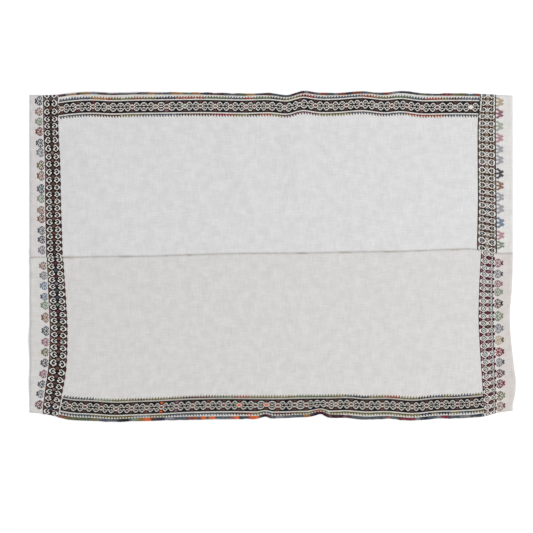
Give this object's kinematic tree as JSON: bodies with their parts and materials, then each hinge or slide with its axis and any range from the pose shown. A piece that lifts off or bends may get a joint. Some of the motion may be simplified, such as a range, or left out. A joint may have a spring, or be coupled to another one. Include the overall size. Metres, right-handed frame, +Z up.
{
  "type": "kilim rug",
  "caption": "Flat kilim rug of two hand-loomed hemp widths sewn down the middle, with brocaded border bands and overcast long edges.",
  "frame": {"origin": "on the surface that the rug lies on, under the middle of its box", "axes": "+X along the rug's length, the warp and the middle seam; +Y across it, towards the upper loom width; +Z up out of its face"},
  "size_m": [2.4152, 1.648, 0.0076],
  "materials": {
    "hemp_cloth": "matt hand-woven hemp, unbleached off-white",
    "wool_yarn": "matt dyed wool yarn in dark mixed colours"
  },
  "bodies": {
    "root": {"upper_panel": "hemp_cloth", "lower_panel": "hemp_cloth", "upper_edge_overcasting": "wool_yarn", "lower_edge_overcasting": "wool_yarn"}
  },
  "joints": []
}
